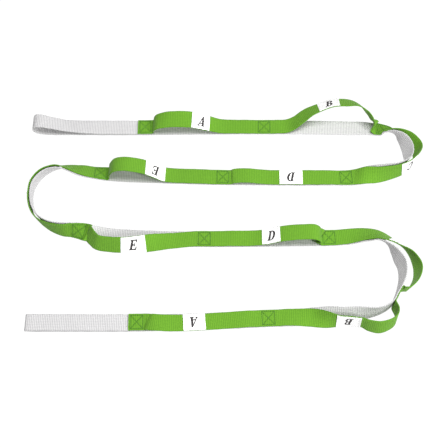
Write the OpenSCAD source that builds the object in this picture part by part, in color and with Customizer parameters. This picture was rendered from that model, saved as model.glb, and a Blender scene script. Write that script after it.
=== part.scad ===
// Stretching strap with grip loops, laid out in four rows on a table.
// A grey base webbing runs the whole length and ends in two loops for the hands. A green
// webbing is sewn on it at twelve tacks and is a little longer than it between the tacks,
// so that it stands off as eleven grip loops, each with a white label round its middle.
// The origin is on the table under the middle of the strap, with X along the rows.

/* [Webbing] */
// Width of the grey and of the green webbing
web_w = 25; // [22:1:26]
// Thickness of one layer of webbing
web_t = 1.6; // [1.2:0.1:1.6]

/* [Sewing] */
// Length of each sewn stretch, along the strap
tack_len = 22; // [18:1:24]
// Width of a stitched line
thread_w = 0.9; // [0.6:0.1:1.2]
// Height of a stitched line over the webbing
thread_t = 0.3; // [0.2:0.1:0.4]

/* [Labels] */
// Length of each label, along the strap
label_len = 30; // [24:1:32]
// Thickness of a label
label_t = 0.5; // [0.3:0.1:0.6]

/* [Hidden] */
// Gap between two layers that thread holds together
sewn_gap = 0.1;
layer = web_t + sewn_gap;
// Gap between a label and its webbing
label_gap = 0.1;
label_inset = 0.5;
// Distance between the sections of the base webbing, and sections of a tack
base_step = 5;
tack_sections = 6;
// Half the distance over which a direction along the base webbing is taken
reach = 1.5;
// Rough distance between the sections of a loop, which sets where its label can end
label_step = 3;
// Sections between two points of the base route, of a grip loop and of an end loop
route_steps = 12;
loop_steps = 6;
end_steps = 5;
// Margin of the stitched box inside the sewn stretch
stitch_margin = 2.5;
stitch_sections = 4;
// Each line of thread lies this much higher than the one sewn before it
thread_over = 0.04;
// The route and the loops are laid out from another corner: this point is the origin
laid_origin = [3.2, 15.7, 0];
base_grey = [0.85, 0.85, 0.86];
web_green = [0.46, 0.72, 0.18];
thread_green = [0.36, 0.58, 0.15];
label_white = [0.97, 0.97, 0.96];

// Route of the base webbing: x, y, roll, and 1 where a tack has its middle.
// Roll 0 lies flat with the green side up, and 90 stands on edge with it facing left.
route = [
    [-170, 167.2, 0, 0], [-118, 167.2, 0, 1], [-60, 168, 0, 0], [0, 168.6, 0, 0],
    [60, 168.8, 0, 1], [120, 168.6, 0, 0], [180, 167.3, 0, 0], [214, 165.8, 5, 0],
    [238, 160.2, 17, 1], [247.5, 154.3, 46, 0], [258.8, 144.8, 89, 0], [267.3, 133, 115, 0],
    [271, 119, 122, 0], [270, 105, 112, 0], [262, 94, 95, 0], [249, 87, 82, 0],
    [228, 82, 58, 0], [203, 79, 22, 0], [178, 77.4, 0, 1], [120, 77.2, 0, 0], [60, 77.7, 0, 0],
    [-2, 78.3, 0, 1], [-60, 80, 0, 0], [-120, 82.2, 0, 0], [-160, 82.8, -6, 0],
    [-180, 83.2, -14, 1], [-209, 85.5, -27, 0], [-238, 88.5, -58, 0], [-256, 82.5, -74, 0],
    [-268, 71, -84, 0], [-275.5, 55, -90, 0], [-276, 36, -93, 0], [-271, 17, -98, 0],
    [-261, 3, -104, 0], [-246.5, -8, -96, 0], [-227, -14.5, -79, 0], [-205, -17, -57, 1],
    [-185, -19.2, -19, 0], [-150, -21.5, 0, 0], [-90, -24.5, 0, 0], [-28, -25.7, 0, 1],
    [30, -25.5, 0, 0], [90, -24.8, 0, 0], [148, -24, 0, 1], [178, -23, 6, 0], [198, -23, 20, 0],
    [214, -27, 35, 0], [225, -36, 60, 0], [234, -48, 88, 0], [241, -61.5, 108, 0],
    [246, -74, 112, 0], [245.5, -91, 110, 0], [241, -106, 105, 0], [234.5, -120, 98, 1],
    [226, -134.5, 95, 0], [208, -144.5, 90, 0], [182, -147.5, 68, 0], [158, -149, 56, 0],
    [130, -148.5, 24, 0], [98, -148.8, 2, 0], [60, -150, 0, 1], [0, -153, 0, 0],
    [-60, -155.3, 0, 0], [-118, -156.7, 0, 1], [-170, -157.7, 0, 0]];

// Grip loops, from the first tack to the last: name, first and last point of the part that
// moves, and the points of the green webbing between the two tacks, each with x, y, height
// of its lower edge over the table, and roll.
loops = [
    ["loop_01_a", 1, 4, [[-104, 167.2, 10, -3], [-97, 167.2, 15.5, -10],
        [-78, 167.2, 18.5, -20], [-50, 167.6, 17, -20], [-20, 168, 7.5, -10],
        [-2, 168.4, 2.5, -3], [18, 168.7, 2, 0]]],
    ["loop_02_b", 3, 6, [[78, 168.8, 2, 0], [95, 169.4, 2.2, 3], [109, 173.5, 5.3, 17],
        [131, 183.5, 15.5, 26], [161, 191, 23.5, 28], [185, 191.5, 24, 30],
        [202, 188, 19.5, 50], [214, 180, 11, 70], [222.5, 169, 3, 72]]],
    ["loop_03_c", 2, 5, [[252.5, 154.8, 1.4, 62], [263.5, 147.2, 0.5, 94],
        [275.8, 138, 0.3, 114], [284, 124, 0.3, 122], [282, 109, 0.3, 105],
        [269, 91.5, 0.3, 86], [250, 82, 0.3, 76], [227, 77, 0.8, 57], [206, 76.5, 4.2, 26]]],
    ["loop_04_d", 0, 3, [[130, 77.3, 2.4, 0], [90, 77.5, 2, 0], [60, 77.7, 2.6, 0],
        [36, 78, 6, 0], [16, 78.2, 5, 0]]],
    ["loop_05_e", 1, 6, [[-40, 79.4, 2, 0], [-70, 80.5, 2, 0], [-89, 81.2, 5, 0],
        [-102, 81.8, 13.5, 0], [-118, 82.3, 23, 0], [-142, 82.8, 29, -2], [-158, 83, 24.5, -5],
        [-165.5, 83.1, 13, -8]]],
    ["loop_06_f", 2, 6, [[-211, 87.2, 2.2, -27], [-240, 91.2, 1.2, -59], [-258.3, 85, 0.5, -74],
        [-270.5, 72.5, 0.4, -84], [-278, 55.5, 0.3, -90], [-278.5, 35.5, 0.3, -93],
        [-273.6, 15.5, 0.3, -98], [-263.6, 0.5, 0.3, -104], [-248.3, -11, 0.3, -96],
        [-228, -17.6, 0.8, -79]]],
    ["loop_07_e", 2, 5, [[-190, -23.2, 2.4, -55], [-184, -30.8, 1.4, -60],
        [-174, -38, 0.3, -61], [-145, -40.7, 0.3, -58], [-120, -38.9, 0.3, -46],
        [-104, -35.5, 1.5, -26], [-87, -32, 2, -9], [-64, -28.6, 2, 0]]],
    ["loop_08_d", 1, 5, [[15, -25.6, 2, 0], [40, -25.4, 2.4, 0], [62, -25.2, 6.5, 0],
        [84, -24.9, 14.5, 0], [108, -24.6, 18.5, 0], [126, -24.3, 18, 0], [135, -24.2, 11, 0]]],
    ["loop_09_c", 3, 7, [[176, -22.8, 2.4, 5], [198, -21.5, 3.2, 19], [218, -24.5, 3.2, 34],
        [236, -34.5, 1, 54], [250.5, -46, 0.3, 66], [261, -59.5, 0.3, 91], [267, -77, 0.3, 110],
        [263.5, -95, 0.3, 110], [252, -110, 0.3, 104]]],
    ["loop_10_b", 1, 9, [[229.8, -135.5, 0.3, 97], [232.8, -145, 0.3, 97],
        [231.8, -154.5, 0.3, 90], [224.5, -162.5, 0.3, 82], [209, -168, 0.3, 77],
        [195, -165.7, 0.3, 80], [184, -161, 0.3, 86], [168, -159, 0.3, 86],
        [154, -159, 0.4, 78], [139, -156.5, 1.3, 54], [117, -151.4, 2.2, 17],
        [88, -149.4, 2.6, 1]]],
    ["loop_11_a", 0, 4, [[32, -151.6, 2, 0], [0, -154, 2, 0], [-30, -156.6, 3, 0],
        [-60, -158.8, 4.5, 0], [-84, -159.6, 7, 0], [-98, -158.6, 7, 0]]]];

// Labels: how far each lies past the middle of its loop, and how much longer it is than label_len
label_places = [[-2, -2], [1.5, 2], [0, 0], [-10.5, 4], [1, 3], [0, 0], [-6.6, 4], [1.2, -3], [0, 0],
    [-1.5, 3], [10.5, 0]];

// End loops, from the tack out along the table and back on top: x, z and roll.
// The first one is puffed up at its fold and the last one lies flat.
first_end_y = 167.2;
first_end = [[-130.5, 0.8, 0], [-180, 0.8, 0], [-245, 0.95, 0], [-262, 1.4, 0], [-277, 4.5, 1],
    [-284, 11, 2], [-281.5, 18.5, 3], [-272, 19.5, 6], [-257, 14, 11], [-240, 8.2, 12],
    [-221, 4.6, 9], [-200, 3.3, 3], [-165, 2.5, 0], [-130.5, 2.5, 0]];
last_end_y = -156.9;
last_end = [[-130.5, 0.8, 0], [-180, 0.8, 0], [-235, 0.8, 0], [-262, 1, 0],
    [-268, 2.3, 0], [-262, 3.7, 0], [-235, 2.9, 0], [-180, 2.5, 0], [-130.5, 2.5, 0]];

// ---- Curves ----

function unit(v) = v / norm(v);

// A smooth curve through every row of p, with the same number of steps between two rows
function spline(p, steps) =
    let (last = len(p) - 1)
    concat([for (i = [0 : last - 1])
            let (a = i > 0 ? p[i - 1] : 2 * p[0] - p[1],
                 b = p[i],
                 c = p[i + 1],
                 d = i < last - 1 ? p[i + 2] : 2 * p[last] - p[last - 1])
            for (k = [0 : steps - 1])
                let (t = k / steps)
                0.5 * (2 * b + (c - a) * t + (2 * a - 5 * b + 4 * c - d) * t * t
                       + (3 * b - a - 3 * c + d) * t * t * t)],
           [p[last]]);

// Distance along a list of points, at each of them
function distances(p) =
    [for (i = 0, s = 0; i < len(p);
          s = s + (i + 1 < len(p) ? norm(p[i + 1] - p[i]) : 0), i = i + 1) s];

// The rows of a table at distance s, by straight lines between them
function at(s, along, rows) =
    [for (k = [0 : len(rows[0]) - 1])
        lookup(s, [for (i = [0 : len(rows) - 1]) [along[i], rows[i][k]]])];

function slice(p, first, last) = [for (i = [first : 1 : last]) p[i]];

// ---- The base webbing's route ----

base_rows = spline(route, route_steps);
base_along = distances([for (r = base_rows) [r[0], r[1]]]);
base_x = [for (i = [0 : len(base_rows) - 1]) [base_along[i], base_rows[i][0]]];
base_y = [for (i = [0 : len(base_rows) - 1]) [base_along[i], base_rows[i][1]]];
base_roll = [for (i = [0 : len(base_rows) - 1]) [base_along[i], base_rows[i][2]]];
tacks = [for (i = [0 : len(route) - 1]) if (route[i][3] == 1) base_along[i * route_steps]];
last_tack = len(tacks) - 1;

// Height of the middle of a webbing whose lower edge is on the table
function mid_height(roll) = web_w / 2 * abs(sin(roll)) + web_t / 2 * abs(cos(roll));

// The same for the base webbing, which has the green one under it where it leans past upright
function base_height(roll) = mid_height(roll) + layer * max(0, -cos(roll));

function heading(s) =
    let (a = s - reach, b = s + reach)
    unit([lookup(b, base_x) - lookup(a, base_x), lookup(b, base_y) - lookup(a, base_y), 0]);

function to_left(t) = [-t[1], t[0], 0];

function base_mid(s) = [lookup(s, base_x), lookup(s, base_y), base_height(lookup(s, base_roll))];

// The section at distance s of a layer that lies rise above the middle of the base webbing:
// its middle, its direction across and its normal
function base_section(s, rise = 0) =
    let (roll = lookup(s, base_roll),
         along = unit(base_mid(s + reach) - base_mid(s - reach)),
         across = to_left(heading(s)) * cos(roll) - [0, 0, sin(roll)],
         a = unit(across - (across * along) * along),
         normal = cross(along, a))
    [base_mid(s) + normal * rise, a, normal];

// The same section as x, y, z and roll
function base_row(s, rise = 0) = concat(base_section(s, rise)[0], lookup(s, base_roll));

// The green webbing lies on the base webbing, and at an end tack on the folded tail too
function green_rise(tack) = tack == 0 || tack == last_tack ? 2 * layer : layer;

// ---- Sections: middle, direction across and normal ----

function frames(mids, acrosses) =
    let (last = len(mids) - 1)
    [for (i = [0 : last])
        let (t = unit(mids[min(i + 1, last)] - mids[max(i - 1, 0)]),
             a = unit(acrosses[i] - (acrosses[i] * t) * t))
        [mids[i], a, cross(t, a)]];

function rolled_frames(rows) =
    let (last = len(rows) - 1,
         flat = [for (r = rows) [r[0], r[1], 0]],
         mids = [for (r = rows) [r[0], r[1], r[2]]])
    frames(mids, [for (i = [0 : last])
        let (left = to_left(unit(flat[min(i + 1, last)] - flat[max(i - 1, 0)])))
        left * cos(rows[i][3]) - [0, 0, sin(rows[i][3])]]);

// A strip of width w and thickness t through the sections, moved rise along their normals
module strip(sections, w, t, rise = 0) {
    last = len(sections) - 1;
    corners = [[1, 1], [1, -1], [-1, -1], [-1, 1]];
    points = [for (f = sections) for (c = corners)
        f[0] - laid_origin + f[1] * (c[0] * w / 2) + f[2] * (rise + c[1] * t / 2)];
    // The top and the underside are split along the same diagonal, so that strips which
    // lie on each other stay apart where they twist
    sides = [for (i = [0 : last - 1]) for (j = [0 : 3])
        let (a = 4 * i + j, b = 4 * i + (j + 1) % 4)
        for (f = j == 1 ? [[a, b, a + 4], [b, b + 4, a + 4]]
                        : [[a, b, b + 4], [a, b + 4, a + 4]]) f];
    ends = [[3, 2, 1], [3, 1, 0], [4 * last, 4 * last + 1, 4 * last + 2],
        [4 * last, 4 * last + 2, 4 * last + 3]];
    polyhedron(points = points, faces = concat(sides, ends));
}

// Distances along the base webbing of the sections of a tack, and of the stretch after it
function tack_places(tack) =
    [for (k = [0 : tack_sections]) tacks[tack] + tack_len * (k / tack_sections - 0.5)];
function places_after(tack) =
    let (start = tacks[tack] + tack_len / 2,
         length = tacks[tack + 1] - tack_len / 2 - start,
         count = ceil(length / base_step))
    [for (k = [1 : count - 1]) start + length * k / count];

function tack_strip(tack, rise) = [for (s = tack_places(tack)) base_section(s, rise)];

// The green webbing between two tacks, as rows of x, y, z and roll
function loop_rows(n) =
    let (starts = [tacks[n], tacks[n] + tack_len / 2],
         stops = [tacks[n + 1] - tack_len / 2, tacks[n + 1]],
         controls = concat(
             [for (s = starts) base_row(s, green_rise(n))],
             [for (p = loops[n][3]) [p[0], p[1], p[2] + mid_height(p[3]), p[3]]],
             [for (s = stops) base_row(s, green_rise(n + 1))]),
         rows = spline(controls, loop_steps))
    slice(rows, loop_steps, len(rows) - 1 - loop_steps);

function loop_strip(n) = rolled_frames(loop_rows(n));

// Places in loop_strip of the first and last section that moves
function first_moving(n) = (loops[n][1] + 1) * loop_steps;
function last_moving(n) = (loops[n][2] + 1) * loop_steps;

// ---- Parts ----

// The base webbing from the middle of one tack to the middle of another, or to its own end
module base_webbing(first, last) {
    places = [for (tack = [0 : last_tack])
        for (s = concat(tack_places(tack), tack == last_tack ? [] : places_after(tack)))
            if ((first == 0 || s >= tacks[first]) && (last == last_tack || s <= tacks[last])) s];
    color(base_grey) strip([for (s = places) base_section(s)], web_w, web_t);
}

module folded_tail(tack) {
    color(base_grey) strip(tack_strip(tack, layer), web_w, web_t);
}

module end_loop(rows, y) {
    curve = spline(rows, end_steps);
    color(base_grey)
        strip(frames([for (r = curve) [r[0], y, r[1]]],
                     [for (r = curve) [0, -cos(r[2]), sin(r[2])]]), web_w, web_t);
}

// A tack of the green webbing, with the stretches on both sides that stay with it
module green_tack(tack) {
    before = tack == 0 ? [] : slice(loop_strip(tack - 1), last_moving(tack - 1) + 1,
                                    len(loop_strip(tack - 1)) - 2);
    after = tack == last_tack ? [] : slice(loop_strip(tack), 1, first_moving(tack) - 1);
    color(web_green)
        strip(concat(before, tack_strip(tack, green_rise(tack)), after), web_w, web_t);
}

// Box and cross of thread on a tack
module stitch_box(tack) {
    sections = tack_strip(tack, green_rise(tack));
    along = distances([for (f = sections) f[0]]);
    long = along[len(along) - 1] / 2 - stitch_margin;
    half = web_w / 2 - stitch_margin;
    rise = web_t / 2 + sewn_gap + thread_t / 2;
    corners = [[-long, -half], [long, -half], [long, half], [-long, half]];
    lines = [[0, 1], [1, 2], [2, 3], [3, 0], [0, 2], [1, 3]];
    flat = [for (f = sections) concat(f[0], f[1], f[2])];
    color(thread_green)
        for (i = [0 : len(lines) - 1]) {
            a = corners[lines[i][0]];
            b = corners[lines[i][1]];
            mids = [for (k = [0 : stitch_sections])
                let (p = a + (b - a) * k / stitch_sections,
                     f = at(p[0] + long + stitch_margin, along, flat),
                     n = [f[6], f[7], f[8]])
                [[f[0], f[1], f[2]] + [f[3], f[4], f[5]] * p[1], n]];
            run = unit(mids[stitch_sections][0] - mids[0][0]);
            strip([for (m = mids) [m[0], unit(cross(m[1], run)), m[1]]],
                  thread_w, thread_t, rise + i * thread_over);
        }
}

module grip_loop(n) {
    sections = loop_strip(n);
    color(web_green) strip(slice(sections, first_moving(n), last_moving(n)), web_w, web_t);
}

// A label has the sections of its loop, from the first to the last within its length
module label(n) {
    sections = loop_strip(n);
    along = distances([for (f = sections) f[0]]);
    middle = along[len(along) - 1] / 2 + label_places[n][0];
    reach_out = (label_len + label_places[n][1] + label_step) / 2;
    picked = [for (i = [0 : len(along) - 1]) if (abs(along[i] - middle) < reach_out) sections[i]];
    color(label_white)
        strip(picked, web_w - label_inset, label_t, web_t / 2 + label_gap + label_t / 2);
}

tack_names = ["green_tack_01", "green_tack_02", "green_tack_03", "green_tack_04",
    "green_tack_05", "green_tack_06", "green_tack_07", "green_tack_08", "green_tack_09",
    "green_tack_10", "green_tack_11", "green_tack_12"];
stitch_names = ["stitch_box_01", "stitch_box_02", "stitch_box_03", "stitch_box_04",
    "stitch_box_05", "stitch_box_06", "stitch_box_07", "stitch_box_08", "stitch_box_09",
    "stitch_box_10", "stitch_box_11", "stitch_box_12"];
label_names = ["label_01_a", "label_02_b", "label_03_c", "label_04_d", "label_05_e",
    "label_06_f", "label_07_e", "label_08_d", "label_09_c", "label_10_b", "label_11_a"];
loop_names = [for (l = loops) l[0]];
// The stretches of the base webbing: name, first and last tack
stretches = [["base_row_1", 0, 2], ["base_turn_1", 2, 3], ["base_row_2", 3, 5],
    ["base_turn_2", 5, 6], ["base_row_3", 6, 8], ["base_turn_3", 8, 9], ["base_turn_4", 9, 10],
    ["base_row_4", 10, 11]];
stretch_names = [for (s = stretches) s[0]];

for (s = stretches) base_webbing(s[1], s[2]);
folded_tail(0);  // folded_tail_first
folded_tail(last_tack);  // folded_tail_last
end_loop(first_end, first_end_y);  // end_loop_first
end_loop(last_end, last_end_y);  // end_loop_last
for (i = [0 : last_tack]) {
    green_tack(i);
    stitch_box(i);
}
for (i = [0 : last_tack - 1]) {
    grip_loop(i);
    label(i);
}
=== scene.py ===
"""The looks of the stretching strap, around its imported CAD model.
Routes, curves and sizes are in millimetres, and become metres where a mesh is made."""
import math
from collections import namedtuple

import bmesh
import bpy
import numpy as np
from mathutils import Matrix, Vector


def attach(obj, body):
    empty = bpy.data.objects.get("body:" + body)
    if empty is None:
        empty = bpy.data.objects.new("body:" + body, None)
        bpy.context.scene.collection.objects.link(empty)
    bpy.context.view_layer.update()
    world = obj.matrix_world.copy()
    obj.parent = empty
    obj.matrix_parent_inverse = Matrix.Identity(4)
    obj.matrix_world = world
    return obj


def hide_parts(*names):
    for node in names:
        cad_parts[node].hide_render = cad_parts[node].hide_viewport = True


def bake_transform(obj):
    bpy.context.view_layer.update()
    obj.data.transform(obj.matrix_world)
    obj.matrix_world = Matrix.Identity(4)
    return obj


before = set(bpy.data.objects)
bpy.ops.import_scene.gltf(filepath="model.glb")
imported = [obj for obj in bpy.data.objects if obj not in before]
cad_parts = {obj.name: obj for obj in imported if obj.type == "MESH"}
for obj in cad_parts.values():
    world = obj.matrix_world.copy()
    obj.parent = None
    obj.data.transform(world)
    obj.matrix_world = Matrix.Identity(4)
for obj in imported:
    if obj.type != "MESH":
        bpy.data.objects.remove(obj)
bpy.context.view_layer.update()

# ---- Sizes, in millimetres ----

MM = 0.001
WEB_W, WEB_T = 25.0, 1.6
SEWN_GAP = 0.1
LAYER = WEB_T + SEWN_GAP
TACK_LEN = 22.0
LABEL_LEN, LABEL_W, LABEL_T = 30.0, 24.5, 0.4
LABEL_GAP = 0.1
# Distance past its length at which a label may still take a section of its loop
LABEL_SLACK = 0.25
HEM_LEN, HEM_T, HEM_EASE, HEM_MARGIN = 3.6, 0.3, 0.8, 1
# Share of a hem's length at which it is sewn
HEM_SEAM = 0.55
LETTER_H, LETTER_T = 15.5, 0.06
REACH = 1.5
GREEN_RIB, GREY_RIB = 2.5, 2.4
RIB_SAMPLES = 4
RIB_HEIGHT = 0.09
ROUTE_STEPS, LOOP_STEPS, END_STEPS = 12, 6, 5
FINE = 4
STITCH_MARGIN = 2.5
STITCH_PITCH, HEM_PITCH = 2.9, 2.3
ROW_POINTS = 25
THREAD_R, HEM_THREAD_R = 0.38, 0.2
DENT_DEPTH, DENT_WIDTH = 0.34, 0.85
# Depth to which the thread of a tack lies in the green webbing and in the base webbing
GREEN_SINK, GREY_SINK = 0.12, 0.05
# Distance over which a loop turns from its tack's sections to its own
SEAM_BLEND = 6.0
# How far loose webbing stands off its even curve, and the distance over which that begins
LOOP_WAVE, END_WAVE, WAVE_EASE = 0.8, 0.9, 16
# Share of an end loop's length where its upper half begins, and the distance over which it does
END_UPPER, UPPER_EASE = 0.55, 30
# An end loop bends across from its tack's line to its own over one and a half times this length
END_BEND = 26.0

# The laid-out strap's own origin, as in the CAD
LAID_ORIGIN = np.array([3.2, 15.7, 0.0])

# Route of the base webbing: x, y, roll, and 1 where a tack has its middle.
# Roll 0 lies flat with the green side up, and 90 stands on edge with it facing left.
ROUTE = [
    (-170, 167.2, 0, 0), (-118, 167.2, 0, 1), (-60, 168, 0, 0), (0, 168.6, 0, 0),
    (60, 168.8, 0, 1), (120, 168.6, 0, 0), (180, 167.3, 0, 0), (214, 165.8, 5, 0),
    (238, 160.2, 17, 1), (247.5, 154.3, 46, 0), (258.8, 144.8, 89, 0), (267.3, 133, 115, 0),
    (271, 119, 122, 0), (270, 105, 112, 0), (262, 94, 95, 0), (249, 87, 82, 0),
    (228, 82, 58, 0), (203, 79, 22, 0), (178, 77.4, 0, 1), (120, 77.2, 0, 0),
    (60, 77.7, 0, 0), (-2, 78.3, 0, 1), (-60, 80, 0, 0), (-120, 82.2, 0, 0),
    (-160, 82.8, -6, 0), (-180, 83.2, -14, 1), (-209, 85.5, -27, 0), (-238, 88.5, -58, 0),
    (-256, 82.5, -74, 0), (-268, 71, -84, 0), (-275.5, 55, -90, 0), (-276, 36, -93, 0),
    (-271, 17, -98, 0), (-261, 3, -104, 0), (-246.5, -8, -96, 0), (-227, -14.5, -79, 0),
    (-205, -17, -57, 1), (-185, -19.2, -19, 0), (-150, -21.5, 0, 0), (-90, -24.5, 0, 0),
    (-28, -25.7, 0, 1), (30, -25.5, 0, 0), (90, -24.8, 0, 0), (148, -24, 0, 1),
    (178, -23, 6, 0), (198, -23, 20, 0), (214, -27, 35, 0), (225, -36, 60, 0),
    (234, -48, 88, 0), (241, -61.5, 108, 0), (246, -74, 112, 0), (245.5, -91, 110, 0),
    (241, -106, 105, 0), (234.5, -120, 98, 1), (226, -134.5, 95, 0), (208, -144.5, 90, 0),
    (182, -147.5, 68, 0), (158, -149, 56, 0), (130, -148.5, 24, 0), (98, -148.8, 2, 0),
    (60, -150, 0, 1), (0, -153, 0, 0), (-60, -155.3, 0, 0), (-118, -156.7, 0, 1),
    (-170, -157.7, 0, 0)]

# Grip loops: name, letter, first and last point of the part that moves, and the points of the
# green webbing between the two tacks: x, y, height of the lower edge over the table, and roll.
LOOPS = [
    ("01_a", "A", 1, 4, [(-104, 167.2, 10, -3), (-97, 167.2, 15.5, -10),
        (-78, 167.2, 18.5, -20), (-50, 167.6, 17, -20), (-20, 168, 7.5, -10),
        (-2, 168.4, 2.5, -3), (18, 168.7, 2, 0)]),
    ("02_b", "B", 3, 6, [(78, 168.8, 2, 0), (95, 169.4, 2.2, 3), (109, 173.5, 5.3, 17),
        (131, 183.5, 15.5, 26), (161, 191, 23.5, 28), (185, 191.5, 24, 30),
        (202, 188, 19.5, 50), (214, 180, 11, 70), (222.5, 169, 3, 72)]),
    ("03_c", "C", 2, 5, [(252.5, 154.8, 1.4, 62), (263.5, 147.2, 0.5, 94),
        (275.8, 138, 0.3, 114), (284, 124, 0.3, 122), (282, 109, 0.3, 105),
        (269, 91.5, 0.3, 86), (250, 82, 0.3, 76), (227, 77, 0.8, 57), (206, 76.5, 4.2, 26)]),
    ("04_d", "D", 0, 3, [(130, 77.3, 2.4, 0), (90, 77.5, 2, 0), (60, 77.7, 2.6, 0),
        (36, 78, 6, 0), (16, 78.2, 5, 0)]),
    ("05_e", "E", 1, 6, [(-40, 79.4, 2, 0), (-70, 80.5, 2, 0), (-89, 81.2, 5, 0),
        (-102, 81.8, 13.5, 0), (-118, 82.3, 23, 0), (-142, 82.8, 29, -2), (-158, 83, 24.5, -5),
        (-165.5, 83.1, 13, -8)]),
    ("06_f", "F", 2, 6, [(-211, 87.2, 2.2, -27), (-240, 91.2, 1.2, -59), (-258.3, 85, 0.5, -74),
        (-270.5, 72.5, 0.4, -84), (-278, 55.5, 0.3, -90), (-278.5, 35.5, 0.3, -93),
        (-273.6, 15.5, 0.3, -98), (-263.6, 0.5, 0.3, -104), (-248.3, -11, 0.3, -96),
        (-228, -17.6, 0.8, -79)]),
    ("07_e", "E", 2, 5, [(-190, -23.2, 2.4, -55), (-184, -30.8, 1.4, -60),
        (-174, -38, 0.3, -61), (-145, -40.7, 0.3, -58), (-120, -38.9, 0.3, -46),
        (-104, -35.5, 1.5, -26), (-87, -32, 2, -9), (-64, -28.6, 2, 0)]),
    ("08_d", "D", 1, 5, [(15, -25.6, 2, 0), (40, -25.4, 2.4, 0), (62, -25.2, 6.5, 0),
        (84, -24.9, 14.5, 0), (108, -24.6, 18.5, 0), (126, -24.3, 18, 0), (135, -24.2, 11, 0)]),
    ("09_c", "C", 3, 7, [(176, -22.8, 2.4, 5), (198, -21.5, 3.2, 19), (218, -24.5, 3.2, 34),
        (236, -34.5, 1, 54), (250.5, -46, 0.3, 66), (261, -59.5, 0.3, 91), (267, -77, 0.3, 110),
        (263.5, -95, 0.3, 110), (252, -110, 0.3, 104)]),
    ("10_b", "B", 1, 9, [(229.8, -135.5, 0.3, 97), (232.8, -145, 0.3, 97),
        (231.8, -154.5, 0.3, 90), (224.5, -162.5, 0.3, 82), (209, -168, 0.3, 77),
        (195, -165.7, 0.3, 80), (184, -161, 0.3, 86), (168, -159, 0.3, 86),
        (154, -159, 0.4, 78), (139, -156.5, 1.3, 54), (117, -151.4, 2.2, 17),
        (88, -149.4, 2.6, 1)]),
    ("11_a", "A", 0, 4, [(32, -151.6, 2, 0), (0, -154, 2, 0), (-30, -156.6, 3, 0),
        (-60, -158.8, 4.5, 0), (-84, -159.6, 7, 0), (-98, -158.6, 7, 0)])]

# Labels: how far each lies past the middle of its loop, and how much longer it is than LABEL_LEN
LABELS = [(-2, -2), (1.5, 2), (0, 0), (-10.5, 4), (1, 3), (0, 0), (-6.6, 4), (1.2, -3), (0, 0),
          (-1.5, 3), (10.5, 0)]

# Stretches of the base webbing: CAD node, first and last tack
STRETCHES = [("base_row_1", 0, 2), ("base_turn_1", 2, 3), ("base_row_2", 3, 5),
             ("base_turn_2", 5, 6), ("base_row_3", 6, 8), ("base_turn_3", 8, 9),
             ("base_turn_4", 9, 10), ("base_row_4", 10, 11)]

# End loops, from the tack out along the table and back on top: x, z and roll
FIRST_END = [(-129, 0.8, 0), (-180, 0.8, 0), (-245, 0.95, 0), (-262, 1.4, 0), (-277, 4.5, 1),
             (-284, 11, 2), (-281.5, 18.5, 3), (-272, 19.5, 6), (-257, 14, 11), (-240, 8.2, 12),
             (-221, 4.6, 9), (-200, 3.3, 3), (-165, 2.5, 0), (-129, 2.5, 0)]
LAST_END = [(-129, 0.8, 0), (-180, 0.8, 0), (-235, 0.8, 0), (-262, 1, 0), (-268, 2.3, 0),
            (-262, 3.7, 0), (-235, 2.9, 0), (-180, 2.5, 0), (-129, 2.5, 0)]
FIRST_END_Y, LAST_END_Y = 167.2, -156.9

# ---- Curves ----

# A strip's sections: middles, directions across and normals, and the distance along it
Curve = namedtuple("Curve", "mid across normal along")


def unit(v):
    return v / np.linalg.norm(v, axis=-1, keepdims=True)


def spline(rows, steps):
    """A smooth curve through every row, with the same number of steps between two rows."""
    p = np.asarray(rows, float)
    p = np.vstack([2 * p[0] - p[1], p, 2 * p[-1] - p[-2]])
    t = (np.arange(steps) / steps)[:, None]
    parts = [0.5 * (2 * b + (c - a) * t + (2 * a - 5 * b + 4 * c - d) * t ** 2
                    + (3 * b - a - 3 * c + d) * t ** 3)
             for a, b, c, d in zip(p, p[1:], p[2:], p[3:])]
    return np.vstack(parts + [p[-2:-1]])


def distances(points):
    return np.concatenate([[0], np.cumsum(np.linalg.norm(np.diff(points, axis=0), axis=1))])


def smooth(x):
    x = np.clip(x, 0, 1)
    return x * x * (3 - 2 * x)


def spaced(rows, step):
    """The rows at even distances along their x, y and z, about a step apart."""
    along = distances(rows[:, :3])
    places = np.linspace(0, along[-1], max(2, round(along[-1] / step) + 1))
    return np.stack([np.interp(places, along, c) for c in rows.T], 1)


def to_left(t):
    return np.stack([-t[..., 1], t[..., 0], 0 * t[..., 0]], -1)


def framed(mids, acrosses):
    t = unit(np.gradient(mids, axis=0))
    a = unit(acrosses - (acrosses * t).sum(1, keepdims=True) * t)
    return Curve(mids, a, np.cross(t, a), distances(mids))


def leaning(left, roll):
    """The direction across a strip: to the left of its travel, leaning by roll in degrees."""
    r = np.radians(roll)[:, None]
    return left * np.cos(r) - np.array([0, 0, 1.0]) * np.sin(r)


def rolled(rows):
    """Sections of a strip from rows of x, y, z and roll."""
    heading = np.gradient(rows[:, :2], axis=0)
    heading = unit(np.column_stack([heading, np.zeros(len(rows))]))
    return framed(rows[:, :3], leaning(to_left(heading), rows[:, 3]))


def part_of(curve, start, stop):
    """The sections of a curve between two of its distances along."""
    keep = (curve.along >= start - 1e-6) & (curve.along <= stop + 1e-6)
    return Curve(*[c[keep] for c in curve])


def point_at(curve, place):
    """The section at a distance along a curve: middle, direction across and normal."""
    return [np.array([np.interp(place, curve.along, c) for c in rows.T]).T
            for rows in (curve.mid, curve.across, curve.normal)]


# ---- The route of the base webbing ----

base_rows = spline([r[:3] for r in ROUTE], ROUTE_STEPS)
base_along = distances(base_rows[:, :2])
tacks = [base_along[i * ROUTE_STEPS] for i, r in enumerate(ROUTE) if r[3]]
LAST_TACK = len(tacks) - 1


def mid_height(roll):
    """Height of the middle of a webbing whose lower edge is on the table."""
    r = np.radians(roll)
    return WEB_W / 2 * np.abs(np.sin(r)) + WEB_T / 2 * np.abs(np.cos(r))


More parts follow.
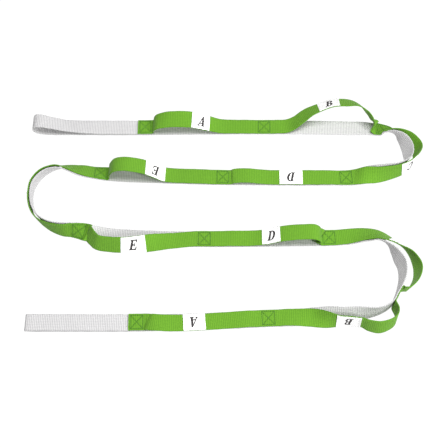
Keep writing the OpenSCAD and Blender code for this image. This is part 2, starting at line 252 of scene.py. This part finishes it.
def base_mid(s):
    x, y, roll = [np.interp(s, base_along, c) for c in base_rows.T]
    lifted = LAYER * np.maximum(0, -np.cos(np.radians(roll)))
    return np.stack([x, y, mid_height(roll) + lifted], -1)


def base_curve(s, rise=0.0):
    """Sections of a layer that lies rise above the middle of the base webbing."""
    ahead, behind = base_mid(s + REACH), base_mid(s - REACH)
    along = unit(ahead - behind)
    heading = (ahead - behind) * np.array([1, 1, 0])
    across = leaning(to_left(unit(heading)), np.interp(s, base_along, base_rows[:, 2]))
    across = unit(across - (across * along).sum(1, keepdims=True) * along)
    normal = np.cross(along, across)
    mids = base_mid(s) + normal * rise
    return Curve(mids, across, normal, distances(mids))


def base_row(s, rise):
    mid = base_curve(np.array([s]), rise).mid[0]
    return [*mid, np.interp(s, base_along, base_rows[:, 2])]


def green_rise(tack):
    """The green webbing lies on the base webbing, and at an end tack on its tail too."""
    return 2 * LAYER if tack in (0, LAST_TACK) else LAYER


def tack_curve(tack, rise, step):
    half = TACK_LEN / 2
    count = round(TACK_LEN / step) + 1
    return base_curve(np.linspace(tacks[tack] - half, tacks[tack] + half, count), rise)


def loop_controls(n):
    points = LOOPS[n][4]
    starts = [tacks[n], tacks[n] + TACK_LEN / 2]
    stops = [tacks[n + 1] - TACK_LEN / 2, tacks[n + 1]]
    return ([base_row(s, green_rise(n)) for s in starts]
            + [[x, y, z + mid_height(roll), roll] for x, y, z, roll in points]
            + [base_row(s, green_rise(n + 1)) for s in stops])


def loop_curve(n, step):
    """The green webbing from the edge of one tack to the edge of the next."""
    steps = LOOP_STEPS * FINE
    rows = spaced(spline(loop_controls(n), steps)[steps:-steps], step)
    curve = rolled(rows)
    across, normal = curve.across, curve.normal
    ends = base_curve(np.array([tacks[n] + TACK_LEN / 2, tacks[n + 1] - TACK_LEN / 2]))
    for place, end in ((curve.along, 0), (curve.along[-1] - curve.along, 1)):
        share = 1 - smooth(place / SEAM_BLEND)[:, None]
        across = unit(across * (1 - share) + ends.across[end] * share)
        normal = normal * (1 - share) + ends.normal[end] * share
    normal = unit(normal - (normal * across).sum(1, keepdims=True) * across)
    return Curve(curve.mid, across, normal, curve.along)


def moving_ends(n):
    """The middles of the first and last section of a loop that move with its grip."""
    rows = spline(loop_controls(n), LOOP_STEPS)[LOOP_STEPS:-LOOP_STEPS]
    first, last = LOOPS[n][2:4]
    return [rows[(i + 1) * LOOP_STEPS, :3] for i in (first, last)]


# ---- Relief of the cloth ----

def wander(u, seed, lengths=(61.0, 37.0, 23.0)):
    """A smooth line between -1 and 1 that never repeats within the strap."""
    parts = [np.sin(2 * math.pi * u / length + seed * (k + 1) * 2.4) / (k + 1)
             for k, length in enumerate(lengths)]
    return sum(parts) / sum(1 / (k + 1) for k in range(len(lengths)))


def waves(u, v, length, seed, height):
    """How far a loose webbing stands off its even curve: always outwards, and not at its ends."""
    lean = wander(u, seed + 5) * v / (WEB_W / 2)
    free = smooth(u / WAVE_EASE) * smooth((length - u) / WAVE_EASE)
    return height * free * (0.5 + 0.3 * wander(u, seed) + 0.2 * lean)


STITCH_LINES = [(0, 1), (1, 2), (2, 3), (3, 0), (0, 2), (1, 3)]


def stitch_corners():
    long, half = TACK_LEN / 2 - STITCH_MARGIN, WEB_W / 2 - STITCH_MARGIN
    return [np.array(c) for c in ((-long, -half), (long, -half), (long, half), (-long, half))]


def stitch_dent(u, v):
    """Depth to which the box and cross of thread pull the cloth in, with the tack's middle at 0."""
    p = np.stack([u, v], -1)
    corners = stitch_corners()
    depth = np.zeros(u.shape)
    for i, j in STITCH_LINES:
        a, b = corners[i], corners[j]
        t = np.clip(((p - a) @ (b - a)) / ((b - a) @ (b - a)), 0, 1)
        away = np.linalg.norm(p - (a + t[..., None] * (b - a)), axis=-1)
        depth = np.maximum(depth, DENT_DEPTH * np.exp(-(away / DENT_WIDTH) ** 2))
    return depth


# ---- Meshes ----

def new_object(name, verts, faces, material, smooth_faces=True):
    """A mesh object from points in millimetres, laid out from the strap's own origin."""
    mesh = bpy.data.meshes.new(name)
    mesh.from_pydata((np.asarray(verts) - LAID_ORIGIN) * MM, [], faces)
    mesh.polygons.foreach_set("use_smooth", [smooth_faces] * len(mesh.polygons))
    mesh.materials.append(material)
    obj = bpy.data.objects.new(name, mesh)
    bpy.context.scene.collection.objects.link(obj)
    return obj


def set_weave(obj, values):
    """Where a vertex lies on its cloth, in metres, for the material to weave by."""
    made = obj.data.attributes.new("weave", "FLOAT_VECTOR", "POINT")
    made.data.foreach_set("vector", np.asarray(values, np.float32).ravel())


def set_painted_dent_shade(obj, values):
    """How far thread pulls the cloth in at a vertex, from 0 to 1, where the material paints shade
    on it.
    """
    made = obj.data.attributes.new("dent_shade", "FLOAT", "POINT")
    made.data.foreach_set("value", np.asarray(values, np.float32).ravel())


def profile(width, thickness, columns, corner=3):
    """Outline of a strip's section: across, up, and 1 on top, -1 underneath and between at
    the rounded edges. It goes over the top to the left edge and back underneath."""
    r = thickness / 2
    flat = np.linspace(-(width / 2 - r), width / 2 - r, columns)
    bend = np.radians(np.linspace(90, -90, corner + 2))[1:-1]
    left = np.stack([width / 2 - r + r * np.cos(bend), r * np.sin(bend)], 1)
    top = np.stack([flat, np.full(columns, r)], 1)
    half = np.vstack([top, left])
    outline = np.vstack([half, -half])
    return outline[:, 0], outline[:, 1], outline[:, 1] / r


def strip(name, curve, width, thickness, columns, material, rise=0.0, along=0.0,
          rib=GREEN_RIB, ribs=RIB_HEIGHT, height=None, top=None, wobble=0.15):
    """A closed strip of cloth. height(u, v) moves both of its faces along the normal and
    top(u, v) only the upper one, with u along the piece and v across it."""
    v, up, side = profile(width, thickness, columns)
    u = (curve.along - curve.along[0])[:, None] + 0 * v
    v = 0 * u + v
    lift = rise + up + side * ribs * np.cos(2 * math.pi * (u + along) / rib)
    if height is not None:
        lift = lift + height(u, v)
    pulled = 0 * u
    if top is not None:
        pulled = top(u, v) * np.clip(side, 0, 1)
        lift = lift + pulled
    edge = np.sign(v) * wobble * wander(u + along, 3 + np.sign(v), (31.0, 17.0, 9.0))
    shift = v + edge * smooth(np.abs(v) / (width / 2) * 2 - 1)
    verts = (curve.mid[:, None] + curve.across[:, None] * shift[..., None]
             + curve.normal[:, None] * lift[..., None])
    n, m = u.shape
    i, j = np.meshgrid(np.arange(n - 1), np.arange(m), indexing="ij")
    k = (j + 1) % m
    sides = np.stack([i * m + j, (i + 1) * m + j, (i + 1) * m + k, i * m + k], -1).reshape(-1, 4)
    across = np.arange(m // 2 - 1)
    cap = np.stack([across, across + 1, m - 2 - across, m - 1 - across], -1)
    caps = [tuple(c) for c in cap] + [tuple(c[::-1] + (n - 1) * m) for c in cap]
    obj = new_object(name, verts.reshape(-1, 3), [tuple(f) for f in sides] + caps, material)
    sharp_rims(obj, len(sides))
    places = np.stack([(u + along) * MM, v * MM, 0 * v + side], -1)
    set_weave(obj, places.reshape(-1, 3))
    set_painted_dent_shade(obj, np.clip(-pulled / DENT_DEPTH, 0, 1))
    return obj


def sharp_rims(obj, sides):
    """Makes the two cut ends of a strip flat, with a sharp rim round them."""
    bm = bmesh.new()
    bm.from_mesh(obj.data)
    bm.faces.ensure_lookup_table()
    for face in bm.faces[sides:]:
        face.smooth = False
        for e in face.edges:
            if any(f.index < sides for f in e.link_faces):
                e.smooth = False
    bm.normal_update()
    bm.to_mesh(obj.data)
    bm.free()


STITCH_RINGS, STITCH_SIDES = 5, 6
# Half a stitch, as a share of the distance from one stitch to the next
STITCH_HALF = 0.42


def stitches(name, rows, material, radius=THREAD_R):
    """Sewn thread: each row is (points, normals, length of one stitch), and each stitch comes
    out of the cloth, lies on it and goes back in."""
    verts, faces, places = [], [], []
    turn = np.radians(np.arange(STITCH_SIDES) * 360 / STITCH_SIDES)
    for points, normals, pitch in rows:
        along = distances(points)
        count = max(1, round(along[-1] / pitch))
        for i in range(count):
            share = (i + 0.5 + STITCH_HALF * np.linspace(-1, 1, STITCH_RINGS)) / count
            t = np.linspace(0, math.pi, STITCH_RINGS)
            at = share * along[-1]
            mid = np.stack([np.interp(at, along, c) for c in points.T], 1)
            normal = unit(np.stack([np.interp(at, along, c) for c in normals.T], 1))
            mid = mid + normal * (radius * (1.1 * np.sin(t) - 0.75))[:, None]
            run = unit(mid[-1] - mid[0])
            side = unit(np.cross(normal, run))
            thick = (radius * (0.45 + 0.55 * np.sin(t)))[:, None, None]
            ring = (mid[:, None] + thick * (side[:, None] * np.cos(turn)[None, :, None]
                                            + normal[:, None] * np.sin(turn)[None, :, None]))
            start = sum(len(x) for x in verts)
            verts.append(ring.reshape(-1, 3))
            places.append(np.stack(np.broadcast_arrays(
                (at * MM)[:, None], turn[None, :] * radius * MM, 0.0), -1).reshape(-1, 3))
            for r in range(STITCH_RINGS - 1):
                for s in range(STITCH_SIDES):
                    a = start + r * STITCH_SIDES + s
                    b = start + r * STITCH_SIDES + (s + 1) % STITCH_SIDES
                    faces.append((a, a + STITCH_SIDES, b + STITCH_SIDES, b))
            last = start + (STITCH_RINGS - 1) * STITCH_SIDES
            faces.append(tuple(range(start, start + STITCH_SIDES)))
            faces.append(tuple(reversed(range(last, last + STITCH_SIDES))))
    obj = new_object(name, np.vstack(verts), faces, material)
    set_weave(obj, np.vstack(places))
    return obj


# ---- Letters of the grips ----

def arc(x, y, rx, ry, start, stop, count=9):
    """Points of an ellipse's arc, between two angles in degrees."""
    a = np.radians(np.linspace(start, stop, count))
    return [(x + rx * math.cos(t), y + ry * math.sin(t)) for t in a]


# A plain bold letter with serifs, one high: its outline, and then its counters
FOOT = [(0, 1), (0, 0.91), (0.1, 0.9), (0.1, 0.1), (0, 0.09)]
ARMS = [(0.5, 0.45), (0.55, 0.34), (0.63, 0.34), (0.63, 0.67), (0.55, 0.67), (0.5, 0.56),
        (0.37, 0.56), (0.37, 0.89), (0.58, 0.89), (0.68, 0.84), (0.74, 0.7), (0.83, 0.7),
        (0.82, 1)]
LETTERS = {
    "A": [[(0, 0), (0.34, 0), (0.34, 0.09), (0.24, 0.1), (0.29, 0.24), (0.58, 0.24),
           (0.62, 0.1), (0.53, 0.09), (0.53, 0), (0.99, 0), (0.99, 0.09), (0.9, 0.1),
           (0.6, 1), (0.44, 1), (0.1, 0.1), (0, 0.09)],
          [(0.33, 0.35), (0.545, 0.35), (0.44, 0.71)]],
    "B": [[(0, 0)] + arc(0.48, 0.275, 0.4, 0.275, -90, 68) + arc(0.45, 0.76, 0.34, 0.24, -68, 90)
          + FOOT,
          [(0.37, 0.1)] + arc(0.47, 0.28, 0.13, 0.18, -90, 90) + [(0.37, 0.46)],
          [(0.37, 0.57)] + arc(0.44, 0.735, 0.11, 0.165, -90, 90) + [(0.37, 0.9)]],
    "C": [arc(0.46, 0.5, 0.48, 0.52, 40, 320, 21) + [(0.89, 0.3), (0.8, 0.3)]
          + arc(0.5, 0.5, 0.24, 0.4, 318, 40, 19) + [(0.75, 0.64), (0.86, 0.64)]],
    "D": [[(0, 0)] + arc(0.42, 0.5, 0.5, 0.5, -90, 90, 15) + FOOT,
          [(0.37, 0.1)] + arc(0.42, 0.5, 0.22, 0.4, -90, 90, 13) + [(0.37, 0.9)]],
    "E": [[(0, 0), (0.84, 0), (0.89, 0.32), (0.8, 0.32), (0.7, 0.15), (0.6, 0.11), (0.37, 0.11),
           (0.37, 0.45)] + ARMS + FOOT],
    "F": [[(0, 0), (0.5, 0), (0.5, 0.09), (0.37, 0.1), (0.37, 0.45)] + ARMS + FOOT]}
LETTER_SLANT, LETTER_NARROW = 0.2, 0.74


def letter_mesh(letter):
    """The flat letter, cut into strips a millimetre wide so that it can bend with its label."""
    curve = bpy.data.curves.new("outline", "CURVE")
    curve.dimensions, curve.fill_mode = "2D", "BOTH"
    for outline in LETTERS[letter]:
        line = curve.splines.new("POLY")
        line.points.add(len(outline) - 1)
        for point, (x, y) in zip(line.points, outline):
            point.co = ((x * LETTER_NARROW + LETTER_SLANT * y) * LETTER_H, y * LETTER_H, 0, 1)
        line.use_cyclic_u = True
    holder = bpy.data.objects.new("outline", curve)
    mesh = bpy.data.meshes.new_from_object(holder)
    bpy.data.objects.remove(holder)
    bm = bmesh.new()
    bm.from_mesh(mesh)
    bmesh.ops.remove_doubles(bm, verts=bm.verts, dist=0.001)
    xs = [v.co.x for v in bm.verts]
    middle = (min(xs) + max(xs)) / 2
    for x in np.arange(min(xs) + 1, max(xs), 1.0):
        bmesh.ops.bisect_plane(bm, geom=bm.verts[:] + bm.edges[:] + bm.faces[:],
                               plane_co=(x, 0, 0), plane_no=(1, 0, 0))
    for v in bm.verts:
        v.co.x -= middle
        v.co.y -= LETTER_H / 2
    for f in bm.faces:
        if f.normal.z < 0:
            f.normal_flip()
    top = bmesh.ops.extrude_face_region(bm, geom=bm.faces[:])["geom"]
    for v in [g for g in top if isinstance(g, bmesh.types.BMVert)]:
        v.co.z = LETTER_T
    for f in [f for f in bm.faces if all(abs(v.co.z) < 1e-9 for v in f.verts)]:
        f.normal_flip()
    bmesh.ops.recalc_face_normals(bm, faces=bm.faces)
    return bm


# ---- Materials ----

# How much painted shade darkens webbing where thread pulls it in
PAINTED_DENT_SHADE = 0.4
# One turn of a thread's ply, along and round it, and one diagonal line of the tape, in metres
PLY_ALONG, PLY_AROUND, TAPE_LINE = 0.0007, 0.0011, 0.0006


def srgb(r, g, b):
    return tuple(((c / 255 + 0.055) / 1.055) ** 2.4 if c > 10 else c / 255 / 12.92
                 for c in (r, g, b)) + (1.0,)


class Nodes:
    """A material's node tree, built from short calls."""

    def __init__(self, name):
        self.material = bpy.data.materials.new(name)
        self.material.use_nodes = True
        self.tree = self.material.node_tree
        self.shader = self.tree.nodes["Principled BSDF"]

    def node(self, kind, inputs=(), **settings):
        made = self.tree.nodes.new(kind)
        for key, value in settings.items():
            setattr(made, key, value)
        for place, value in dict(inputs).items():
            self.put(made.inputs[place], value)
        return made

    def put(self, socket, value):
        if isinstance(value, bpy.types.NodeSocket):
            self.tree.links.new(value, socket)
        else:
            socket.default_value = value

    def math(self, operation, a, b=0.0):
        return self.node("ShaderNodeMath", {0: a, 1: b}, operation=operation).outputs[0]

    def mix(self, share, a, b):
        made = self.node("ShaderNodeMix", data_type="RGBA")
        for socket, value in zip([made.inputs[0], made.inputs[6], made.inputs[7]], (share, a, b)):
            self.put(socket, value)
        return made.outputs[2]

    def noise(self, scale, vector, detail=2.0):
        made = self.node("ShaderNodeTexNoise", {"Vector": vector, "Scale": scale, "Detail": detail})
        return made.outputs[0]

    def between(self, value, low, high):
        """0 below low, 1 above high and a straight line between them."""
        made = self.node("ShaderNodeMapRange", {0: value, 1: low, 2: high})
        made.clamp = True
        return made.outputs[0]

    def set(self, **values):
        for key, value in values.items():
            self.put(self.shader.inputs[key.replace("_", " ")], value)

    def weave(self):
        """Distance along and across the cloth in metres, and the two as one vector."""
        vector = self.node("ShaderNodeAttribute", attribute_name="weave").outputs["Vector"]
        parts = self.node("ShaderNodeSeparateXYZ", {0: vector})
        return parts.outputs[0], parts.outputs[1], vector


def webbing_material(name, colour, shade, dent_shade_colour, rib, yarn, groove_shade, edge_dark):
    """Woven webbing: ribs across it, rows of yarn along it, and denser edges. rib and yarn are
    their widths, the next number is how much painted shade darkens the grooves and valleys of
    the weave, and edge_dark says how much darker the edges are. Painted shade also darkens it
    where thread pulls it in."""
    m = Nodes(name)
    along, across, place = m.weave()
    turn = 2 * math.pi
    ribs = m.math("COSINE", m.math("MULTIPLY", along, turn / (rib * MM)))
    rows = m.math("COSINE", m.math("MULTIPLY", across, turn / (yarn * MM)))
    over = m.math("MULTIPLY", m.math("COSINE", m.math("MULTIPLY", along, turn / (rib * MM) / 2)),
                  m.math("COSINE", m.math("MULTIPLY", across, turn / (yarn * MM) / 2)))
    cells = m.math("ABSOLUTE", over)
    fibre_place = m.node("ShaderNodeMapping", {0: place, 3: (1.0, 6.0, 1.0)}, vector_type="POINT")
    fibres = m.noise(900.0, fibre_place.outputs[0], 3.0)
    yarns = m.noise(300.0, place, 2.0)

    tone = m.mix(m.math("MULTIPLY", m.between(yarns, 0.35, 0.75), 0.16), colour, shade)
    # Painted shade in the grooves between the cells of the weave and in the valleys between its
    # ribs.
    painted_groove_shade = m.math("MULTIPLY", m.math("SUBTRACT", 1.0, m.between(cells, 0.0, 0.35)), groove_shade)
    tone = m.mix(painted_groove_shade, tone, shade)
    painted_rib_shade = m.math("MULTIPLY", m.between(m.math("MULTIPLY", ribs, -1.0), 0.0, 1.0), groove_shade)
    tone = m.mix(painted_rib_shade, tone, shade)
    edge = m.between(m.math("ABSOLUTE", across), (WEB_W / 2 - 1.5) * MM, (WEB_W / 2 - 0.5) * MM)
    tone = m.mix(m.math("MULTIPLY", edge, edge_dark), tone, shade)
    # Painted shade where thread pulls the cloth into a dent.
    dent_shade = m.node("ShaderNodeAttribute", attribute_name="dent_shade").outputs["Fac"]
    tone = m.mix(m.math("MULTIPLY", dent_shade, PAINTED_DENT_SHADE), tone, dent_shade_colour)

    height = m.math("ADD", m.math("MULTIPLY", cells, 0.7), m.math("MULTIPLY", rows, 0.3))
    height = m.math("ADD", height, m.math("MULTIPLY", fibres, 0.3))
    bump = m.node("ShaderNodeBump", {"Height": height, "Strength": 0.6, "Distance": 0.00022})
    rough = m.node("ShaderNodeMapRange", {0: fibres, 3: 0.78, 4: 0.95})
    m.set(Base_Color=tone, Roughness=rough.outputs[0], Normal=bump.outputs[0],
          Sheen_Weight=0.1, Sheen_Roughness=0.5, Specular_IOR_Level=0.2)
    return m.material


def thread_material(name, colour, shade):
    """Twisted sewing thread, with painted shade between its plies."""
    m = Nodes(name)
    along, around = m.weave()[:2]
    twist = m.math("ADD", m.math("MULTIPLY", along, 2 * math.pi / PLY_ALONG),
                   m.math("MULTIPLY", around, 2 * math.pi / PLY_AROUND))
    ply = m.math("SINE", twist)
    # Painted shade in the grooves between the plies, where the bump below sinks the thread.
    tone = m.mix(m.between(ply, -1.0, 0.6), shade, colour)
    bump = m.node("ShaderNodeBump", {"Height": ply, "Strength": 0.5, "Distance": 0.0001})
    m.set(Base_Color=tone, Normal=bump.outputs[0], Roughness=0.55, Sheen_Weight=0.15,
          Specular_IOR_Level=0.4)
    return m.material


def label_material():
    """Smooth woven tape with a fine diagonal line, and painted shade in its grooves."""
    m = Nodes("label_tape")
    along, across, place = m.weave()
    diagonal = m.math("ADD", along, across)
    line = m.math("SINE", m.math("MULTIPLY", diagonal, 2 * math.pi / TAPE_LINE))
    broad = m.noise(120.0, place, 3.0)
    tone = m.mix(m.between(broad, 0.35, 0.75), srgb(252, 252, 251), srgb(240, 240, 239))
    # Painted shade in the grooves of the diagonal line, where the bump below sinks the tape.
    tone = m.mix(m.math("MULTIPLY", m.between(line, 0.2, -1.0), 0.12), tone, srgb(205, 205, 206))
    bump = m.node("ShaderNodeBump", {"Height": line, "Strength": 0.3, "Distance": 0.00006})
    m.set(Base_Color=tone, Normal=bump.outputs[0], Roughness=0.6, Sheen_Weight=0.1,
          Specular_IOR_Level=0.35)
    return m.material


def ink_material():
    """Dark print that lies in the tape's weave, a little uneven."""
    m = Nodes("letter_ink")
    place = m.node("ShaderNodeTexCoord").outputs["Object"]
    spots = m.noise(1500.0, place, 2.0)
    tone = m.mix(m.between(spots, 0.45, 0.75), srgb(44, 40, 41), srgb(66, 63, 64))
    bump = m.node("ShaderNodeBump", {"Height": spots, "Strength": 0.25, "Distance": 0.00005})
    m.set(Base_Color=tone, Normal=bump.outputs[0], Roughness=0.7)
    return m.material


def floor_material():
    """Dark paper with an even white glow of its own, so that no shadow shows on it."""
    m = Nodes("floor_paper")
    m.set(Base_Color=srgb(60, 60, 60), Roughness=0.95, Specular_IOR_Level=0.1,
          Emission_Color=srgb(255, 255, 255), Emission_Strength=1.0)
    return m.material


GREEN = webbing_material("green_webbing", srgb(106, 160, 42), srgb(70, 122, 26),
                         srgb(50, 96, 20), rib=GREEN_RIB, yarn=2.1, groove_shade=0.42, edge_dark=0.35)
GREY = webbing_material("grey_webbing", srgb(212, 211, 211), srgb(150, 149, 152),
                        srgb(140, 140, 143), rib=GREY_RIB, yarn=2.4, groove_shade=0.55, edge_dark=0.2)
GREEN_THREAD = thread_material("green_thread", srgb(84, 143, 34), srgb(56, 106, 22))
GREY_THREAD = thread_material("grey_thread", srgb(196, 196, 198), srgb(140, 140, 144))
WHITE_THREAD = thread_material("white_thread", srgb(232, 232, 232), srgb(186, 186, 188))
LABEL = label_material()
INK = ink_material()


# ---- The pieces ----

GREEN_COLUMNS, GREY_COLUMNS, TACK_COLUMNS = 11, 11, 49


def metres(point):
    return tuple((np.asarray(point) - LAID_ORIGIN) * MM)


def make_base():
    """The base webbing, in the same stretches as in the CAD."""
    step = GREY_RIB / RIB_SAMPLES
    start = tacks[0] - TACK_LEN / 2
    for node, first, last in STRETCHES:
        a = start if first == 0 else tacks[first]
        b = tacks[last] + (TACK_LEN / 2 if last == LAST_TACK else 0)
        curve = base_curve(np.linspace(a, b, round((b - a) / step) + 1))
        obj = strip(node + "_cloth", curve, WEB_W, WEB_T, GREY_COLUMNS, GREY, along=a - start,
                    rib=GREY_RIB)
        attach(obj, "strap")
        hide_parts(node)


def make_tail(name, tack):
    """The folded-back end of the base webbing, caught between it and the green webbing."""
    curve = tack_curve(tack, LAYER, GREY_RIB / RIB_SAMPLES)
    obj = strip("folded_tail_" + name + "_cloth", curve, WEB_W, WEB_T, GREY_COLUMNS, GREY,
                rib=GREY_RIB)
    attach(obj, "strap")
    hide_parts("folded_tail_" + name)


def make_end_loop(name, rows, y, seed):
    """The hand loop at one end: out along the table and back on top of itself."""
    tack = 0 if name == "first" else LAST_TACK
    edge = tacks[tack] + (-TACK_LEN / 2 if name == "first" else TACK_LEN / 2)
    edge_y = base_mid(np.array([edge]))[0, 1]
    fine = spaced(np.array([[x, 0, z, roll] for x, z, roll in spline(rows, END_STEPS * FINE)]),
                  GREY_RIB / RIB_SAMPLES)
    out = smooth((fine[0, 0] - fine[:, 0]) / (1.5 * END_BEND))
    mids = np.column_stack([fine[:, 0], edge_y + (y - edge_y) * out, fine[:, 2]])
    r = np.radians(fine[:, 3])
    curve = framed(mids, np.stack([0 * r, -np.cos(r), np.sin(r)], 1))

    length = curve.along[-1]

    def height(u, v):
        """Only the upper half waves, since the lower one lies on the table."""
        upper = smooth((u - length * END_UPPER) / UPPER_EASE)
        return -upper * waves(u, v, length, seed, END_WAVE)

    obj = strip("end_loop_" + name + "_cloth", curve, WEB_W, WEB_T, GREY_COLUMNS, GREY,
                rib=GREY_RIB, height=height)
    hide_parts("end_loop_" + name)
    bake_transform(obj)


def sewn_rows(curve, rise):
    """The box and cross of a tack, as rows of stitches on sections that lie rise off a curve."""
    corners = stitch_corners()
    rows = []
    for i, j in STITCH_LINES:
        t = np.linspace(0, 1, ROW_POINTS)[:, None]
        line = corners[i] * (1 - t) + corners[j] * t
        mid, across, normal = point_at(curve, curve.along[-1] / 2 + line[:, 0])
        points = mid + across * line[:, 1:] + normal * rise
        rows.append((points, normal * np.sign(rise), STITCH_PITCH))
    return rows


def make_tack(tack, along):
    """One sewn stretch of the green webbing, with its stitches on both faces of the strap."""
    number = "%02d" % (tack + 1)
    curve = tack_curve(tack, green_rise(tack), GREEN_RIB / RIB_SAMPLES)
    obj = strip("green_tack_" + number + "_cloth", curve, WEB_W, WEB_T, TACK_COLUMNS, GREEN,
                along=along, top=lambda u, v: -stitch_dent(u - TACK_LEN / 2, v))
    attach(obj, "strap")
    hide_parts("green_tack_" + number)
    front = stitches("stitch_box_" + number + "_thread",
                     sewn_rows(curve, WEB_T / 2 - GREEN_SINK), GREEN_THREAD)
    base = tack_curve(tack, 0.0, GREY_RIB)
    back = stitches("stitch_box_" + number + "_back_thread",
                    sewn_rows(base, GREY_SINK - WEB_T / 2), GREY_THREAD)
    for made in (front, back):
        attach(made, "strap")
    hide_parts("stitch_box_" + number)
    return curve.along[-1]


def make_label(n, curve, height):
    """The white label on the middle of a loop, its two rows of stitches and its letter."""
    name, letter = LOOPS[n][:2]
    grip = "grip_" + name
    shift, longer = LABELS[n]
    middle, length = curve.along[-1] / 2 + shift, LABEL_LEN + longer
    first = middle - length / 2
    piece = part_of(curve, first - LABEL_SLACK, first + length + LABEL_SLACK)
    offset = piece.along[0]
    surface = WEB_T / 2 + LABEL_GAP

    def hem(u, v):
        end = np.minimum(u, u.max() - u)
        return HEM_T * smooth((HEM_LEN - end) / HEM_EASE)

    tape = strip("label_" + name + "_tape", piece, LABEL_W, LABEL_T, GREEN_COLUMNS, LABEL,
                 rise=surface + LABEL_T / 2, ribs=0.0, wobble=0.12, top=hem,
                 height=lambda u, v: height(u + offset, v))
    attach(tape, grip)
    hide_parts("label_" + name)

    v = np.linspace(HEM_MARGIN - LABEL_W / 2, LABEL_W / 2 - HEM_MARGIN, ROW_POINTS)
    rows, back_rows = [], []
    for place in (first + HEM_LEN * HEM_SEAM, first + length - HEM_LEN * HEM_SEAM):
        mid, across, normal = [np.broadcast_to(x, (len(v), 3))
                               for x in point_at(curve, place)]
        lift = height(np.full(len(v), place), v)
        for made, side, rise in ((rows, 1, surface + LABEL_T + HEM_T),
                                 (back_rows, -1, -WEB_T / 2)):
            points = mid + across * v[:, None] + normal * (rise + lift)[:, None]
            made.append((points, normal * side, HEM_PITCH))
    sewn = stitches("label_" + name + "_stitches", rows, WHITE_THREAD, HEM_THREAD_R)
    behind = stitches("label_" + name + "_back_stitches", back_rows, GREEN_THREAD, HEM_THREAD_R)
    for made in (sewn, behind):
        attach(made, grip)

    bm = letter_mesh(letter)
    u = np.array([v.co.x for v in bm.verts]) + middle
    across_at = np.array([v.co.y for v in bm.verts])
    up = np.array([v.co.z for v in bm.verts])
    mid, across, normal = point_at(curve, u)
    lift = surface + LABEL_T + height(u, across_at) + up
    points = mid + across * across_at[:, None] + normal * lift[:, None]
    faces = [[v.index for v in f.verts] for f in bm.faces]
    bm.free()
    print_obj = new_object("label_" + name + "_letter", points, faces, INK, smooth_faces=False)
    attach(print_obj, grip)


def make_loop(n, along):
    """One grip loop in two halves, which meet under its label."""
    name = LOOPS[n][0]
    curve = loop_curve(n, GREEN_RIB / RIB_SAMPLES)
    length = curve.along[-1]
    middle = curve.along[np.argmin(abs(curve.along - length / 2 - LABELS[n][0]))]

    def height(u, v):
        return waves(u, v, length, n, LOOP_WAVE)

    ends = moving_ends(n)
    for half, start, stop, end in (("near", 0.0, middle, ends[0]),
                                   ("far", middle, length, ends[1])):
        part = part_of(curve, start, stop)
        offset = part.along[0]
        obj = strip("loop_" + name + "_" + half, part, WEB_W, WEB_T, GREEN_COLUMNS, GREEN,
                    along=along + offset, height=lambda u, v: height(u + offset, v))
        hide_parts("loop_" + name)
        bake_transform(obj)
    make_label(n, curve, height)
    return length


def make_strap():
    make_base()
    make_tail("first", 0)
    make_tail("last", LAST_TACK)
    make_end_loop("first", FIRST_END, FIRST_END_Y, 1)
    make_end_loop("last", LAST_END, LAST_END_Y, 2)
    along = 0.0
    for tack in range(LAST_TACK + 1):
        along += make_tack(tack, along)
        if tack < LAST_TACK:
            along += make_loop(tack, along)


# ---- Floor, lights and camera ----

CAMERA_ELEVATION, CAMERA_DISTANCE, CAMERA_LENS = 59.0, 1.571, 88.6
WORLD_STRENGTH, TOP_WATTS, KEY_WATTS = 0.22, 42, 30
FLOOR_SIZE, FLOOR_DROP = 12.0, 0.0004


def make_floor():
    mesh = bpy.data.meshes.new("floor")
    h = FLOOR_SIZE / 2
    mesh.from_pydata([(-h, -h, -FLOOR_DROP), (h, -h, -FLOOR_DROP), (h, h, -FLOOR_DROP),
                      (-h, h, -FLOOR_DROP)], [], [(0, 1, 2, 3)])
    mesh.materials.append(floor_material())
    floor = bpy.data.objects.new("floor", mesh)
    bpy.context.scene.collection.objects.link(floor)


def aim(obj, place, target):
    obj.location = place
    obj.rotation_euler = (Vector(target) - Vector(place)).to_track_quat("-Z", "Y").to_euler()
    bpy.context.scene.collection.objects.link(obj)


def area_light(name, place, size, watts):
    light = bpy.data.lights.new(name, "AREA")
    light.shape, light.size, light.energy = "DISK", size, watts
    aim(bpy.data.objects.new(name, light), place, (0, 0, 0))


def make_lights():
    world = bpy.data.worlds.new("studio")
    world.use_nodes = True
    background = world.node_tree.nodes["Background"]
    background.inputs["Color"].default_value = (1, 1, 1, 1)
    background.inputs["Strength"].default_value = WORLD_STRENGTH
    bpy.context.scene.world = world
    area_light("top", (0.3, 0.0, 2.0), 1.2, TOP_WATTS)
    area_light("key", (1.3, -1.2, 1.1), 0.7, KEY_WATTS)


def make_camera():
    camera = bpy.data.cameras.new("camera")
    camera.lens, camera.sensor_width = CAMERA_LENS, 36.0
    obj = bpy.data.objects.new("camera", camera)
    e = math.radians(CAMERA_ELEVATION)
    target = Vector(metres((0, 0, 0)))
    aim(obj, target + CAMERA_DISTANCE * Vector((0, -math.cos(e), math.sin(e))), target)
    bpy.context.scene.camera = obj


bpy.context.scene.view_settings.view_transform = "Standard"
make_camera()
make_lights()
make_floor()
make_strap()
